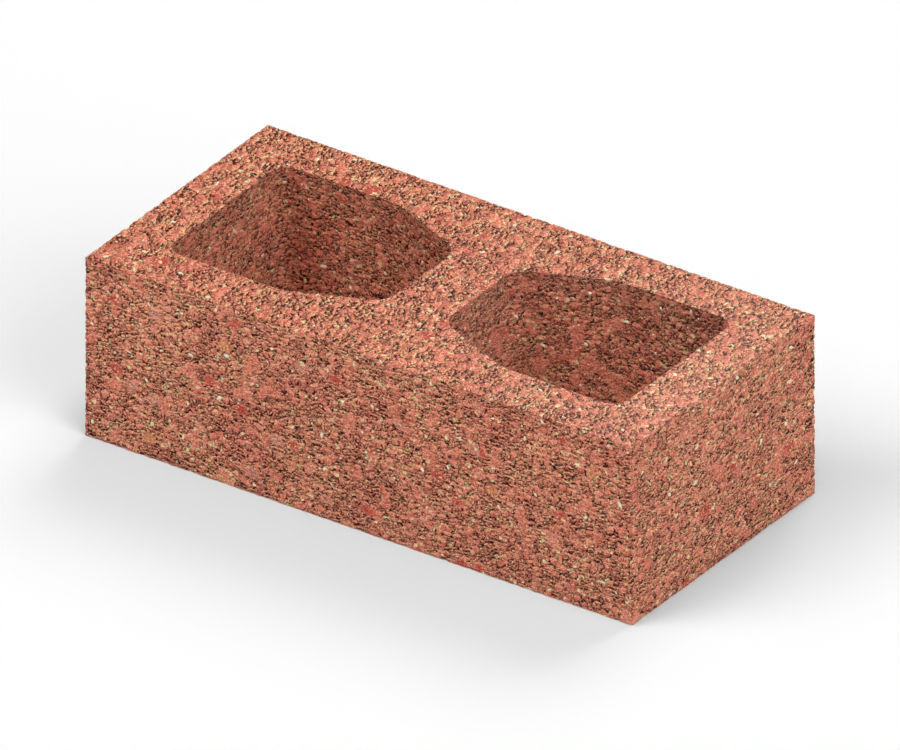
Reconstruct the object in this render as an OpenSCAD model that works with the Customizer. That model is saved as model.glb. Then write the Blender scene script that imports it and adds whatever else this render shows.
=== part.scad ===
// Hollow brick of fired clay with two flared cores, laid with the cores upright.
// Millimetres. X runs along the wall, Y through it and Z up.
// The origin is the middle of the lower bed face.

/* [Brick] */
// Length along the wall
brick_length = 290; // [240:1:400]
// Width through the wall
brick_width = 140; // [120:1:200]
// Height of one course
brick_height = 90; // [40:1:200]
// Radius of the outer edges, the arrises
arris_r = 1; // [0.5:0.1:3]

/* [Walls] */
// Thickness of the two long face shells
face_shell = 25; // [15:0.5:35]
// Thickness of the two end walls
end_wall = 25; // [15:0.5:40]
// Thickness of the web between the cores
middle_web = 30; // [20:0.5:60]

/* [Cores] */
// Extra thickness of each face shell where it meets the middle web
shell_flare = 18; // [5:0.5:25]
// Angle at which a face shell thickens towards the middle web
flare_angle = 22.5; // [15:0.5:45]
// Radius of a core's corners at the end wall
end_corner_r = 8; // [2:0.5:15]
// Radius of the bend where a face shell starts to thicken
flare_bend_r = 12; // [2:0.5:20]
// Radius of a core's corners at the middle web
web_corner_r = 12; // [2:0.5:20]

/* [Hidden] */
$fn = 64;

// How far a core is cut past both bed faces
cut_past = 1;
// How far a rounding arc laps over the straight sides that it meets
arc_lap = 0.0005;

core_width = brick_width - 2 * face_shell;
neck_width = core_width - 2 * shell_flare;
flare_length = shell_flare / tan(flare_angle);

// Where a core starts at the middle web and ends at the end wall, from the brick's middle
core_inner_x = middle_web / 2;
core_outer_x = brick_length / 2 - end_wall;

// One corner of an outline: its sharp point and the radius that rounds it
function corner(x, y, r) = [[x, y], r];
function corner_point(c) = c[0];
function corner_r(c) = c[1];

function unit(v) = v / norm(v);

// Unit vector from corner i of an outline towards the corner before it (step -1) or after it (step 1)
function towards(corners, i, step) =
    unit(corner_point(corners[(i + step + len(corners)) % len(corners)]) - corner_point(corners[i]));

function half_angle(corners, i) = acos(towards(corners, i, -1) * towards(corners, i, 1)) / 2;

// Point where the arc of corner i meets the straight side before it (step -1) or after it (step 1)
function arc_end(corners, i, step) =
    corner_point(corners[i])
    + towards(corners, i, step) * corner_r(corners[i]) / tan(half_angle(corners, i));

function arc_centre(corners, i) =
    corner_point(corners[i])
    + unit(towards(corners, i, -1) + towards(corners, i, 1))
    * corner_r(corners[i]) / sin(half_angle(corners, i));

// Convex outline with straight sides and a true arc at each corner
module rounded_outline(corners) {
    indices = [0 : len(corners) - 1];
    polygon([for (i = indices, step = [-1, 1]) arc_end(corners, i, step)]);
    for (i = indices)
        translate(arc_centre(corners, i)) circle(r = corner_r(corners[i]) + arc_lap);
}

module rounded_rectangle(x_size, y_size, r) {
    square([x_size - 2 * r, y_size], center = true);
    square([x_size, y_size - 2 * r], center = true);
    for (x_side = [-1, 1], y_side = [-1, 1])
        translate([x_side * (x_size / 2 - r), y_side * (y_size / 2 - r)]) circle(r = r);
}

// The outer block: three crossed extrusions, so that all twelve arrises are rounded
module outer_block() {
    translate([0, 0, brick_height / 2])
        intersection() {
            linear_extrude(brick_height, center = true)
                rounded_rectangle(brick_length, brick_width, arris_r);
            rotate([90, 0, 0])
                linear_extrude(brick_width, center = true)
                    rounded_rectangle(brick_length, brick_height, arris_r);
            rotate([90, 0, 90])
                linear_extrude(brick_length, center = true)
                    rounded_rectangle(brick_width, brick_height, arris_r);
        }
}

// Outline of the core on the +X side: square at the end wall, narrowed by both flares at the web
module core_outline() {
    bend_x = core_inner_x + flare_length;
    rounded_outline([
        corner(core_inner_x, -neck_width / 2, web_corner_r),
        corner(bend_x, -core_width / 2, flare_bend_r),
        corner(core_outer_x, -core_width / 2, end_corner_r),
        corner(core_outer_x, core_width / 2, end_corner_r),
        corner(bend_x, core_width / 2, flare_bend_r),
        corner(core_inner_x, neck_width / 2, web_corner_r)
    ]);
}

module core_pair() {
    for (turn = [0, 180])
        rotate([0, 0, turn])
            translate([0, 0, -cut_past])
                linear_extrude(brick_height + 2 * cut_past) core_outline();
}

// The brick is one piece: a wire-cut length of an extruded clay column
module brick() {
    color("#c0745a")
        difference() {
            outer_block();
            core_pair();
        }
}

brick();
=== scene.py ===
"""Dresses a hollow clay brick: faces of pressed and fired crumbs, sand and chips, on a white floor.

Sizes are in millimetres unless a name or a comment says otherwise. Meshes are in metres, in the frame of
the solid model.
"""

import logging
import math
from collections.abc import Sequence
from dataclasses import dataclass
from enum import Enum
from typing import NamedTuple

import bmesh
import bpy
import numpy as np
from bpy.types import ID, Material, Mesh, Node, NodeSocket, NodeTree, Object
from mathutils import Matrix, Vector
from mathutils.geometry import delaunay_2d_cdt


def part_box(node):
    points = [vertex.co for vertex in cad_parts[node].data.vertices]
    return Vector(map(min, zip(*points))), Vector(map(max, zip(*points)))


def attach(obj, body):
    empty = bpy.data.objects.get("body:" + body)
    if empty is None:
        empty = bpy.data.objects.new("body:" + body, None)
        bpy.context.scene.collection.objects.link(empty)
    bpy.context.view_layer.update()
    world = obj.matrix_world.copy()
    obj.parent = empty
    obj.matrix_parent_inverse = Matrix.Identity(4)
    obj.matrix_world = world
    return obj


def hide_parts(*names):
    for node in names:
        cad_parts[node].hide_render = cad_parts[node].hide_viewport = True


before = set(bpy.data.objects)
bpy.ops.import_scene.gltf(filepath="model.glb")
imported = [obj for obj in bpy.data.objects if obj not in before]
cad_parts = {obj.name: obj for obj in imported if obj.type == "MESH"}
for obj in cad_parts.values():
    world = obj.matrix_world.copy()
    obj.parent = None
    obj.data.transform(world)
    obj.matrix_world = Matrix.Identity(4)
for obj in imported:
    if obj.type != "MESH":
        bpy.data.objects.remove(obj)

LOG = logging.getLogger("brick")

BRICK_NODE = "brick"
BODY = "root"

# Where a point of the clay lay before its face crumbled, in metres
REST = "rest_place"
# Which way the painted light comes from at a point, along the face: crumbs get painted highlights on that
# side and fall open on the other
PAINTED_LIGHT_WAY = "drag_way"
# 0 at a point of a wall to 1 at a point of a bed
BED = "bed"
# Which of the brick's faces a face of the mesh belongs to
SIDE = "side"
# Whether a face of a tile lies behind, out of sight
HIDDEN = "hidden"
# A grain's own shade, from 0 to 1
SHADE = "shade"
# How far below the brick's face the flat top of a grain lies, in metres
SUNK = "sunk"
# The way out of the clay at a grain's place
FACING = "facing"

# The map that textures are painted through
PAINT_MAP = "OFBake"
# Digits of a metre to which the rim of a tile is straight
RIM_DIGITS = 5
# Distance in metres below which two corners of the solid are one
SAME_PLACE = 1e-6
# The middle of what noise and draws give
MEAN = 0.5
# How far noise strays from its middle
NOISE_REACH = 0.25

# What a node can be fed from: a socket, or a node for its first output in use
Source = Node | NodeSocket


def mm(size: float) -> float:
    """Turns millimetres into metres."""
    return size / 1000


def linear(colour: str) -> tuple[float, float, float, float]:
    """Turns an sRGB colour into the linear one that shaders take.

    Args:
        colour: Six hex digits, with a # before them.

    Returns:
        Linear red, green, blue and an alpha of 1.
    """
    parts = []
    for place in (1, 3, 5):
        level = int(colour[place : place + 2], 16) / 255
        parts.append(level / 12.92 if level <= 0.04045 else ((level + 0.055) / 1.055) ** 2.4)
    return (*parts, 1.0)


def out(node: Node, name: str = "") -> NodeSocket:
    """Gives a node's first output that is in use, or the one with this name."""
    return next(s for s in node.outputs if s.enabled and name in ("", s.name))


def add_node(tree: NodeTree, kind: str, inputs: dict | None = None, **settings: object) -> Node:
    """Adds a node to a tree, with its settings and what goes into it.

    Args:
        tree: The shader or geometry tree that gets the node.
        kind: Blender's own name for the type of node.
        inputs: For an input's name or place, the socket or node to feed it from or the value to give it.
        settings: The node's own properties, such as its operation.

    Returns:
        The new node.
    """
    node = tree.nodes.new(kind)
    for name, value in settings.items():
        setattr(node, name, value)
    for key, value in (inputs or {}).items():
        if isinstance(key, int):
            socket = node.inputs[key]
        else:
            socket = next(s for s in node.inputs if s.enabled and s.name == key)
        if isinstance(value, Node):
            value = out(value)
        if isinstance(value, NodeSocket):
            tree.links.new(value, socket)
        else:
            socket.default_value = value
    return node


def spread_colours(ramp: Node, colours: tuple[str, ...], are_steps: bool = False) -> None:
    """Spreads colours evenly over a colour ramp.

    Args:
        ramp: The ramp's node.
        colours: sRGB colours, from the ramp's start to its end.
        are_steps: Whether each colour fills a step of its own and doesn't blend into the next.
    """
    if are_steps:
        ramp.color_ramp.interpolation = "CONSTANT"
    steps = len(colours) if are_steps else len(colours) - 1
    stops = ramp.color_ramp.elements
    while len(stops) < len(colours):
        stops.new(1.0)
    for number, (stop, colour) in enumerate(zip(stops, colours, strict=True)):
        stop.position = number / steps
        stop.color = linear(colour)


def new_material(name: str) -> Material:
    """Makes a material.

    Args:
        name: The material's name.

    Returns:
        The material, whose tree is empty.
    """
    made = bpy.data.materials.new(name)
    made.use_nodes = True
    made.node_tree.nodes.clear()
    return made


def new_tree(name: str, inputs: dict[str, str]) -> NodeTree:
    """Makes a geometry tree with named inputs and no nodes.

    Args:
        name: The tree's name.
        inputs: For each input's name, what it takes, as Blender names its sockets.

    Returns:
        The tree, which gives one geometry.
    """
    tree = bpy.data.node_groups.new(name, "GeometryNodeTree")
    tree.interface.new_socket("Geometry", in_out="OUTPUT", socket_type="NodeSocketGeometry")
    for label, kind in inputs.items():
        tree.interface.new_socket(label, in_out="INPUT", socket_type=f"NodeSocket{kind}")
    return tree


def in_scene(name: str, data: ID) -> Object:
    """Puts a mesh, a lamp or a camera in the scene.

    Args:
        name: The new object's name.
        data: What the object is made of.

    Returns:
        The object, at the origin.
    """
    made = bpy.data.objects.new(name, data)
    bpy.context.scene.collection.objects.link(made)
    return made


def made_plain(piece: Object, tree: NodeTree, sizes: dict) -> Object:
    """Runs a geometry tree on a piece and keeps the result as a plain mesh.

    Args:
        piece: The object that holds the mesh to start from.
        tree: The geometry tree.
        sizes: The value for each of the tree's inputs, by name.

    Returns:
        The same object, with the new mesh and no modifiers.
    """
    nodes = piece.modifiers.new(tree.name, "NODES")
    nodes.node_group = tree
    for item in tree.interface.items_tree:
        if item.in_out == "INPUT" and item.name in sizes:
            nodes[item.identifier] = sizes[item.name]
    graph = bpy.context.evaluated_depsgraph_get()
    mesh = bpy.data.meshes.new_from_object(
        piece.evaluated_get(graph), preserve_all_data_layers=True, depsgraph=graph
    )
    piece.modifiers.clear()
    piece.data = mesh
    mesh.name = piece.name
    return piece


def read_all(items: Sequence, name: str, width: int = 1, kind: type = np.float32) -> np.ndarray:
    """Reads one property of many parts of a mesh.

    Args:
        items: The mesh's vertices, loops or polygons, or the values of an attribute.
        name: The property's name.
        width: How many numbers the property has.
        kind: The type of number.

    Returns:
        A row of numbers for each part, or one number for each where the width is 1.
    """
    values = np.empty(len(items) * width, kind)
    items.foreach_get(name, values)
    return values if width == 1 else values.reshape(-1, width)


class CrumbPlace(NamedTuple):
    """Where a point lies among the crumbs and the finer grit.

    Attributes:
        tone: Three numbers from 0 to 1 drawn for the crumb, as a colour.
        lean: Height in metres that the crumb's own tilt gives the point.
        crumb_tone: The same as tone, for the crumb that a broken lump would have there.
        lit_side: 0 on a crumb's side away from the painted light, where its edge falls open, to 1 on its side
            towards that light.
        painted_highlight: 0 on a crumb's crown to 1 at its edge, on the side towards the painted light, where
            the painted highlight goes.
        fallen: 0 on a crumb's crown to 1 at its edge, on the side away from the painted light.
        crevice: 0 on a crumb to 1 down in an open crevice on its side away from the painted light, where
            painted shade goes.
        off_mean: A slow change over the whole brick, about 0.
        drift: The same change, about 0.5.
        chip: 0 beside a chip of harder fired clay to 1 in it.
        chip_tone: Three numbers from 0 to 1 drawn for the chip, as a colour.
        grit_tone: Three numbers from 0 to 1 drawn for the bit of grit, as a colour.
        grit_lean: Height in metres that the bit of grit's own tilt gives the point.
    """

    tone: Source
    lean: Source
    crumb_tone: Source
    lit_side: Source
    painted_highlight: Source
    fallen: Source
    crevice: Source
    off_mean: Source
    drift: Source
    chip: Source
    chip_tone: Source
    grit_tone: Source
    grit_lean: Source


@dataclass(frozen=True)
class CrumbPattern:
    """How crushed clay packs when it is pressed. The shape of a face and its finish both follow it.

    Attributes:
        lump: Size of a whole lump.
        crumb: Size of the crumbs that a broken lump falls into.
        broken: Share of the lumps that are broken.
        grit: Size of the finer grit.
        flatness: How many times wider than high the press made them.
        bend: How far outlines stray from straight.
        bend_size: Length over which they stray.
        brow_width: How far from its edge a crumb starts to round off.
        brow_curve: How much more steeply it falls at its edge, as a power.
        fused_size: Length over which crumbs are fused here and apart there.
        fused_at: Share of the noise above which they are fused.
        fused_gain: How far the edges of fused crumbs are held shut.
        chip_gap: Mean distance between the places where a chip of harder fired clay may be.
        chip_share: Share of those places that have one.
        chip_reach: Greatest radius of a chip.
        chip_soft: Width of a chip's border.
        chip_seal: How far the crumbs' edges are held shut in a chip.
        opening_size: Length over which crevices open and close.
        drift_size: Length over which one part of a face is more open than another.
        drift: How much more open it gets.
        bed_opening: How much more open the beds are than the walls.
        closed_at: Share of the noise below which a crevice stays closed.
        open_at: Share of the noise at which a crevice is as wide as it gets.
        width: Greatest width of a crevice.
        soft: Width of a crevice's sides.
        open_to: Where a crumb's open side ends, from its middle towards the painted light.
        highlight_full_from: Where the painted highlight on the lit side is full, from the crumb's middle.
    """

    lump: float = 3.3
    crumb: float = 1.85
    broken: float = 0.65
    grit: float = 0.55
    flatness: float = 1.3
    bend: float = 1.9
    bend_size: float = 2.4
    brow_width: float = 0.4
    brow_curve: float = 2.0
    fused_size: float = 9.0
    fused_at: float = 0.6
    fused_gain: float = 8.0
    chip_gap: float = 13.0
    chip_share: float = 0.4
    chip_reach: float = 5.5
    chip_soft: float = 1.6
    chip_seal: float = 0.6
    opening_size: float = 3.2
    drift_size: float = 20.0
    drift: float = 0.15
    bed_opening: float = 0.06
    closed_at: float = 0.15
    open_at: float = 0.7
    width: float = 0.235
    soft: float = 0.08
    open_to: float = -0.15
    highlight_full_from: float = 0.65

    def bent_place(self, tree: NodeTree, place: Source) -> Source:
        """Presses the pattern flat and bends it.

        Args:
            tree: The tree that gets the nodes.
            place: The point's place before its face crumbled, in metres.

        Returns:
            The point's place in the pattern, strayed so that outlines in it are ragged.
        """
        waves = {"Vector": place, "Scale": 1 / mm(self.bend_size), "Detail": 3.0}
        stray = add_node(tree, "ShaderNodeTexNoise", waves)
        squash = {0: place, 1: (1, 1, self.flatness)}
        pressed = add_node(tree, "ShaderNodeVectorMath", squash, operation="MULTIPLY")
        strayed = {0: out(stray, "Color"), 1: (mm(self.bend),) * 3, 2: pressed}
        return add_node(tree, "ShaderNodeVectorMath", strayed, operation="MULTIPLY_ADD")

    def chips(self, tree: NodeTree, bent: Source) -> tuple[Source, Source]:
        """Lays the chips of harder fired clay.

        Args:
            tree: The tree that gets the nodes.
            bent: The point's place in the pattern.

        Returns:
            0 beside a chip to 1 in it, and three numbers drawn for the chip, as a colour.
        """
        cells = {"Vector": bent, "Scale": 1 / mm(self.chip_gap)}
        chips = add_node(tree, "ShaderNodeTexVoronoi", cells)
        drawn = add_node(tree, "ShaderNodeSeparateXYZ", {0: out(chips, "Color")})
        gaps = {0: out(chips, "Distance"), 1: self.chip_gap}
        from_middle = add_node(tree, "ShaderNodeMath", gaps, operation="MULTIPLY")
        radii = {0: out(drawn, "Y"), 1: self.chip_reach}
        reach = add_node(tree, "ShaderNodeMath", radii, operation="MULTIPLY")
        inside = add_node(tree, "ShaderNodeMath", {0: reach, 1: from_middle}, operation="SUBTRACT")
        filled = add_node(tree, "ShaderNodeMapRange", {"Value": inside, "From Max": self.chip_soft})
        shares = {0: out(drawn, "Z"), 1: self.chip_share}
        chosen = add_node(tree, "ShaderNodeMath", shares, operation="LESS_THAN")
        chip = add_node(tree, "ShaderNodeMath", {0: filled, 1: chosen}, operation="MULTIPLY")
        return chip, out(chips, "Color")

    def shut(self, tree: NodeTree, place: Source, edge: Source, chip: Source) -> Source:
        """Holds the edges of crumbs shut where they are fused or in a chip.

        Args:
            tree: The tree that gets the nodes.
            place: The point's place before its face crumbled, in metres.
            edge: How far the point lies from its crumb's edge.
            chip: 0 beside a chip to 1 in it.

        Returns:
            How far the point lies from an edge that may open.
        """
        patches = {"Vector": place, "Scale": 1 / mm(self.fused_size), "Detail": 2.0}
        fusing = add_node(tree, "ShaderNodeTexNoise", patches)
        above = add_node(tree, "ShaderNodeMath", {0: fusing, 1: self.fused_at}, operation="SUBTRACT")
        fused = add_node(tree, "ShaderNodeMath", {0: above, 1: 0.0}, operation="MAXIMUM")
        for share, hold in ((fused, self.fused_gain), (chip, self.chip_seal)):
            edge = add_node(tree, "ShaderNodeMath", {0: share, 1: hold, 2: edge}, operation="MULTIPLY_ADD")
        return edge

    def gap(self, tree: NodeTree, place: Source, edge: Source, off_mean: Source, bed: Source) -> Source:
        """Opens crevices along the edges of crumbs.

        Args:
            tree: The tree that gets the nodes.
            place: The point's place before its face crumbled, in metres.
            edge: How far the point lies from an edge that may open.
            off_mean: A slow change over the whole brick, about 0.
            bed: 0 on a wall to 1 on a bed.

        Returns:
            0 on a crumb to 1 in a crevice all round it.
        """
        lengths = {"Vector": place, "Scale": 1 / mm(self.opening_size), "Detail": 1.0}
        opening = add_node(tree, "ShaderNodeTexNoise", lengths)
        for share, gain in ((bed, self.bed_opening), (off_mean, self.drift)):
            looser = {0: share, 1: gain, 2: opening}
            opening = add_node(tree, "ShaderNodeMath", looser, operation="MULTIPLY_ADD")
        spans = {
            "Value": opening,
            "From Min": self.closed_at,
            "From Max": self.open_at,
            "To Min": -self.soft,
            "To Max": self.width,
        }
        wide = add_node(tree, "ShaderNodeMapRange", spans)
        beyond = add_node(tree, "ShaderNodeMath", {0: edge, 1: wide}, operation="SUBTRACT")
        sides = {"Value": beyond, "From Max": self.soft, "To Min": 1.0, "To Max": 0.0}
        return add_node(tree, "ShaderNodeMapRange", sides)

    def lay(self, tree: NodeTree, place: Source, toward_light: Source, bed: Source) -> CrumbPlace:
        """Adds the pattern's nodes to a shader or geometry tree.

        Args:
            tree: The tree that gets the nodes.
            place: The point's place on the brick before its face crumbled, in metres.
            toward_light: Which way the painted light comes from there, along the face; the crumbs fall open
                on the other side.
            bed: 0 on a wall to 1 on a bed, where the clay was pressed less hard.

        Returns:
            What says where the point lies.
        """
        bent = self.bent_place(tree, place)
        tones, aparts, edges = [], [], []
        for size in (self.lump, self.crumb, self.grit):
            cells = {"Vector": bent, "Scale": 1 / mm(size)}
            cell = add_node(tree, "ShaderNodeTexVoronoi", cells)
            edge = add_node(tree, "ShaderNodeTexVoronoi", cells, feature="DISTANCE_TO_EDGE")
            spots = {0: bent, 1: out(cell, "Position")}
            tones.append(out(cell, "Color"))
            aparts.append(add_node(tree, "ShaderNodeVectorMath", spots, operation="SUBTRACT"))
            edges.append(add_node(tree, "ShaderNodeMath", {0: edge, 1: size}, operation="MULTIPLY"))

        # A broken lump has its crumbs' edges as well as its own.
        drawn = add_node(tree, "ShaderNodeSeparateXYZ", {0: tones[0]})
        draws = {0: out(drawn, "Z"), 1: self.broken}
        broken = add_node(tree, "ShaderNodeMath", draws, operation="LESS_THAN")
        either = add_node(tree, "ShaderNodeMath", {0: edges[0], 1: edges[1]}, operation="MINIMUM")
        own_edge = add_node(tree, "ShaderNodeMix", {"Factor": broken, "A": edges[0], "B": either})
        spots = {"Factor": broken, "A": aparts[0], "B": aparts[1]}
        apart = add_node(tree, "ShaderNodeMix", spots, data_type="VECTOR")
        colours = {"Factor": broken, "A": tones[0], "B": tones[1]}
        tone = add_node(tree, "ShaderNodeMix", colours, data_type="RGBA")

        chip, chip_tone = self.chips(tree, bent)
        edge = self.shut(tree, place, own_edge, chip)
        leans = []
        for place_on, drawn_for in ((apart, tone), (aparts[2], tones[2])):
            draws = {0: drawn_for, 1: (MEAN, MEAN, MEAN)}
            tilt = add_node(tree, "ShaderNodeVectorMath", draws, operation="SUBTRACT")
            slopes = {0: place_on, 1: tilt}
            leans.append(add_node(tree, "ShaderNodeVectorMath", slopes, operation="DOT_PRODUCT"))

        # How far the point lies towards the painted light in its crumb: painted highlight on that side, open
        # crevice with painted shade on the other
        along = add_node(tree, "ShaderNodeVectorMath", {0: apart, 1: toward_light}, operation="DOT_PRODUCT")
        reach = {"Value": along, "From Min": mm(self.open_to), "From Max": mm(self.highlight_full_from)}
        lit_side = add_node(tree, "ShaderNodeMapRange", reach)
        behind = add_node(tree, "ShaderNodeMath", {0: 1.0, 1: lit_side}, operation="SUBTRACT")
        falls = {"Value": edge, "From Max": self.brow_width, "To Min": 1.0, "To Max": 0.0}
        falling = add_node(tree, "ShaderNodeMapRange", falls)
        brow = add_node(tree, "ShaderNodeMath", {0: falling, 1: self.brow_curve}, operation="POWER")
        stretches = {"Vector": place, "Scale": 1 / mm(self.drift_size), "Detail": 2.0}
        drift = add_node(tree, "ShaderNodeTexNoise", stretches)
        off_mean = add_node(tree, "ShaderNodeMath", {0: drift, 1: MEAN}, operation="SUBTRACT")
        gap = self.gap(tree, place, edge, off_mean, bed)
        return CrumbPlace(
            tone=tone,
            lean=leans[0],
            crumb_tone=tones[1],
            lit_side=lit_side,
            painted_highlight=add_node(tree, "ShaderNodeMath", {0: brow, 1: lit_side}, operation="MULTIPLY"),
            fallen=add_node(tree, "ShaderNodeMath", {0: brow, 1: behind}, operation="MULTIPLY"),
            crevice=add_node(tree, "ShaderNodeMath", {0: gap, 1: behind}, operation="MULTIPLY"),
            off_mean=off_mean,
            drift=drift,
            chip=chip,
            chip_tone=chip_tone,
            grit_tone=tones[2],
            grit_lean=leans[1],
        )


@dataclass(frozen=True)
class ClayFinish:
    """The finish of the brick's faces: crumbs of one clay in several shades, with sand and dark crevices.

    The crevices' dark is painted shade, and the crumbs also carry painted highlights and painted shading.

    Attributes:
        name: The material's name.
        pattern: How the crumbs pack.
        shades: sRGB colours of the crumbs.
        sand: sRGB colours of the sand, from buff to cream.
        sand_share: Share of the grit that is sand.
        coarse_share: Share of the crumbs that are coarse sand.
        sand_drift: How much that share changes with the drift.
        crevice: sRGB colour painted down in a crevice: painted shade in the real gap.
        painted_highlight: sRGB colour of the painted highlight on a crumb's edge towards the painted light.
        highlight_least: How much of that colour the faintest painted highlight takes.
        highlight_most: How much of that colour the strongest painted highlight takes.
        golden_drift: The drift where the painted highlights are at their most golden, and where at their
            least.
        golden_gain: How much of their colour they take there.
        chips: sRGB colours of the chips of harder or differently fired clay.
        chip_share: How much of a chip's colour shows through the dust.
        round_gain: Painted light and shade across a crumb: how much paler its side towards the painted light
            is than its open side.
        bed_shade: Painted shade on the beds: how dark they are painted beside the walls.
        drift_gain: How much paler or darker one part of a face is than the next.
        grit_contrast: How much one bit of grit is darker or paler than the next.
        dark_gamma: How much deeper the colour of the darkest grit is, painted for the redder light in shade.
        pale_gamma: How much fainter the colour of the palest grit is.
        grit_tilt: How steeply the grit is tilted.
        fall_relief: How far a crumb's open edge falls away.
        crevice_relief: How deep the crevices' sides look.
        roughness: How matt the clay is.
        gloss: How much of its mirror reflection is left by its pores, where 0.5 is all of it.
        ior: Index of refraction of the clay.
    """

    name: str
    pattern: CrumbPattern
    shades: tuple[str, ...]
    sand: tuple[str, str]
    sand_share: float = 0.055
    coarse_share: float = 0.026
    sand_drift: float = 2.0
    crevice: str = "#440503"
    painted_highlight: str = "#ffd88e"
    highlight_least: float = 0.15
    highlight_most: float = 1.0
    golden_drift: tuple[float, float] = (0.3, 0.7)
    golden_gain: tuple[float, float] = (1.5, 0.5)
    chips: tuple[str, ...] = ("#d25a48", "#c85040", "#d6624e", "#e49a68", "#d8927e", "#ee9a82")
    chip_share: float = 0.85
    round_gain: float = 0.22
    bed_shade: float = 0.925
    drift_gain: float = 0.22
    grit_contrast: float = 0.34
    dark_gamma: float = 1.22
    pale_gamma: float = 0.84
    grit_tilt: float = 0.5
    fall_relief: float = 0.25
    crevice_relief: float = 0.2
    roughness: float = 0.92
    gloss: float = 0.3
    ior: float = 1.5

    def clay(self, tree: NodeTree, at: CrumbPlace) -> Source:
        """Colours the crumbs and chips, with painted highlights on their edges towards the painted light.

        Args:
            tree: The material's tree.
            at: Where the point lies in the pattern.

        Returns:
            The colour of the clay with the painted highlights.
        """
        drawn = add_node(tree, "ShaderNodeSeparateColor", {"Color": at.tone})
        shade = add_node(tree, "ShaderNodeValToRGB", {"Fac": out(drawn, "Red")})
        spread_colours(shade, self.shades)
        chip_drawn = add_node(tree, "ShaderNodeSeparateColor", {"Color": at.chip_tone})
        chip = add_node(tree, "ShaderNodeValToRGB", {"Fac": out(chip_drawn, "Red")})
        spread_colours(chip, self.chips, are_steps=True)
        shows = add_node(tree, "ShaderNodeMath", {0: at.chip, 1: self.chip_share}, operation="MULTIPLY")
        colours = {"Factor": shows, "A": out(shade, "Color"), "B": out(chip, "Color")}
        clay = add_node(tree, "ShaderNodeMix", colours, data_type="RGBA")

        # Painted highlight: pale gold on the crumbs' edges towards the painted light, more on some crumbs and
        # in some parts of a face
        highlight_range = {"Value": out(drawn, "Blue"), "To Min": self.highlight_least, "To Max": self.highlight_most}
        highlight_strength = add_node(tree, "ShaderNodeMapRange", highlight_range)
        spans = {
            "Value": at.drift,
            "From Min": self.golden_drift[0],
            "From Max": self.golden_drift[1],
            "To Min": self.golden_gain[0],
            "To Max": self.golden_gain[1],
        }
        golden = add_node(tree, "ShaderNodeMapRange", spans)
        here = add_node(tree, "ShaderNodeMath", {0: highlight_strength, 1: golden}, operation="MULTIPLY")
        edges = {0: at.painted_highlight, 1: here}
        share = add_node(tree, "ShaderNodeMath", edges, operation="MULTIPLY", use_clamp=True)
        colours = {"Factor": share, "A": clay, "B": linear(self.painted_highlight)}
        return add_node(tree, "ShaderNodeMix", colours, data_type="RGBA")

    def toned(self, tree: NodeTree, at: CrumbPlace, grit: Node, bed: Source, clay: Source) -> Source:
        """Makes the clay darker and deeper here, and paler and fainter there.

        The grit and the drift change it at random. Across each crumb the change is painted light and shade,
        on the beds it is painted shade, and the deeper colour of the darkest parts is painted as well.

        Args:
            tree: The material's tree.
            at: Where the point lies in the pattern.
            grit: The numbers drawn for the bit of grit, split.
            bed: 0 on a wall to 1 on a bed.
            clay: The colour of the clay in plain light.

        Returns:
            The colour of the clay.
        """
        darkest, palest = 1 - self.grit_contrast, 1 + self.grit_contrast
        levels = {"Value": out(grit, "Red"), "To Min": darkest, "To Max": palest}
        level = add_node(tree, "ShaderNodeMapRange", levels)
        # Painted light and shade across each crumb: paler towards the painted light, darker on the open side
        lit_side_from_middle = add_node(tree, "ShaderNodeMath", {0: at.lit_side, 1: MEAN}, operation="SUBTRACT")
        for share, gain in ((lit_side_from_middle, self.round_gain), (at.off_mean, -self.drift_gain)):
            level = add_node(tree, "ShaderNodeMath", {0: share, 1: gain, 2: level}, operation="MULTIPLY_ADD")
        # Painted shade: the beds are painted darker than the walls
        shading = {"Value": bed, "To Min": 1.0, "To Max": self.bed_shade}
        bed_level = add_node(tree, "ShaderNodeMapRange", shading)
        lit = add_node(tree, "ShaderNodeMath", {0: level, 1: bed_level}, operation="MULTIPLY")
        # Painted: the darker the clay, the deeper its colour, as the redder light in shade would make it
        spans = {
            "Value": lit,
            "From Min": darkest,
            "From Max": palest,
            "To Min": self.dark_gamma,
            "To Max": self.pale_gamma,
        }
        depth = add_node(tree, "ShaderNodeMapRange", spans)
        deep = add_node(tree, "ShaderNodeGamma", {"Color": clay, "Gamma": depth})
        return add_node(tree, "ShaderNodeVectorMath", {0: deep, "Scale": lit}, operation="SCALE")

    def sanded(self, tree: NodeTree, at: CrumbPlace, grit: Node, clay: Source) -> Source:
        """Mixes fine and coarse sand into the clay.

        Args:
            tree: The material's tree.
            at: Where the point lies in the pattern.
            grit: The numbers drawn for the bit of grit, split.
            clay: The colour of the clay.

        Returns:
            The colour of the clay or of the sand in it.
        """
        crumb = add_node(tree, "ShaderNodeSeparateColor", {"Color": at.crumb_tone})
        kinds = []
        for drawn, share in ((grit, self.sand_share), (crumb, self.coarse_share)):
            limits = {0: at.off_mean, 1: self.sand_drift * share, 2: 1 - share}
            limit = add_node(tree, "ShaderNodeMath", limits, operation="MULTIPLY_ADD")
            draws = {0: out(drawn, "Green"), 1: limit}
            kinds.append(add_node(tree, "ShaderNodeMath", draws, operation="GREATER_THAN"))
        is_sand = add_node(tree, "ShaderNodeMath", {0: kinds[0], 1: kinds[1]}, operation="MAXIMUM")
        buff, cream = self.sand
        shades = {"Factor": out(grit, "Blue"), "A": linear(buff), "B": linear(cream)}
        sand = add_node(tree, "ShaderNodeMix", shades, data_type="RGBA")
        colours = {"Factor": is_sand, "A": clay, "B": sand}
        return add_node(tree, "ShaderNodeMix", colours, data_type="RGBA")

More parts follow.
